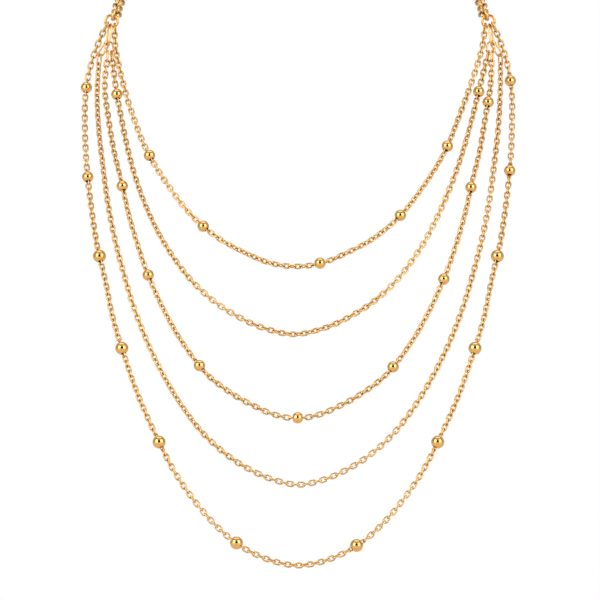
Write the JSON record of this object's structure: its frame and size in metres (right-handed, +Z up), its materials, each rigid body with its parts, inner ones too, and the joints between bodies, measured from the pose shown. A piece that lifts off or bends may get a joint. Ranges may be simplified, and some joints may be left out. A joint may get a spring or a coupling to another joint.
{
  "type": "multi strand station necklace",
  "caption": "Layered necklace of fine oval-link chains with small round beads, hung between two rings and closed behind the neck by a heavier chain with a ring clasp.",
  "frame": {"origin": "where the clasp lies on the nape: the middle of the clasp's inner face", "axes": "+Z up, front faces -Y, +X towards the viewer's right"},
  "size_m": [0.1224, 0.1295, 0.1784],
  "materials": {
    "strand_chain": "polished pale gold plate",
    "polished_bead": "mirror-polished gold plate",
    "ring_and_link": "polished gold plate",
    "back_chain": "polished gold plate"
  },
  "bodies": {
    "root": {"strand_1": "strand_chain", "strand_2": "strand_chain", "strand_3": "strand_chain", "strand_4": "strand_chain", "strand_5": "strand_chain", "strand_1_bead_1": "polished_bead", "strand_1_bead_2": "polished_bead", "strand_1_bead_3": "polished_bead", "strand_1_bead_4": "polished_bead", "strand_1_bead_5": "polished_bead", "strand_2_bead_1": "polished_bead", "strand_2_bead_2": "polished_bead", "strand_3_bead_1": "polished_bead", "strand_3_bead_2": "polished_bead", "strand_3_bead_3": "polished_bead", "strand_3_bead_4": "polished_bead", "strand_3_bead_5": "polished_bead", "strand_3_bead_6": "polished_bead", "strand_3_bead_7": "polished_bead", "strand_3_bead_8": "polished_bead", "strand_5_bead_1": "polished_bead", "strand_5_bead_2": "polished_bead", "strand_5_bead_3": "polished_bead", "strand_5_bead_4": "polished_bead", "strand_5_bead_5": "polished_bead", "strand_5_bead_6": "polished_bead", "strand_5_bead_7": "polished_bead", "strand_5_bead_8": "polished_bead", "strand_5_bead_9": "polished_bead", "strand_5_bead_10": "polished_bead", "strand_5_bead_11": "polished_bead", "strand_5_bead_12": "polished_bead", "strand_ring_left": "ring_and_link", "strand_ring_right": "ring_and_link", "tie_ring_left": "ring_and_link", "tie_ring_right": "ring_and_link", "long_link_left": "ring_and_link", "long_link_right": "ring_and_link", "inner_link_left": "ring_and_link", "inner_link_right": "ring_and_link", "outer_link_left": "ring_and_link", "outer_link_right": "ring_and_link", "back_chain_left": "back_chain", "back_chain_right": "back_chain", "clasp": "ring_and_link"}
  },
  "joints": []
}
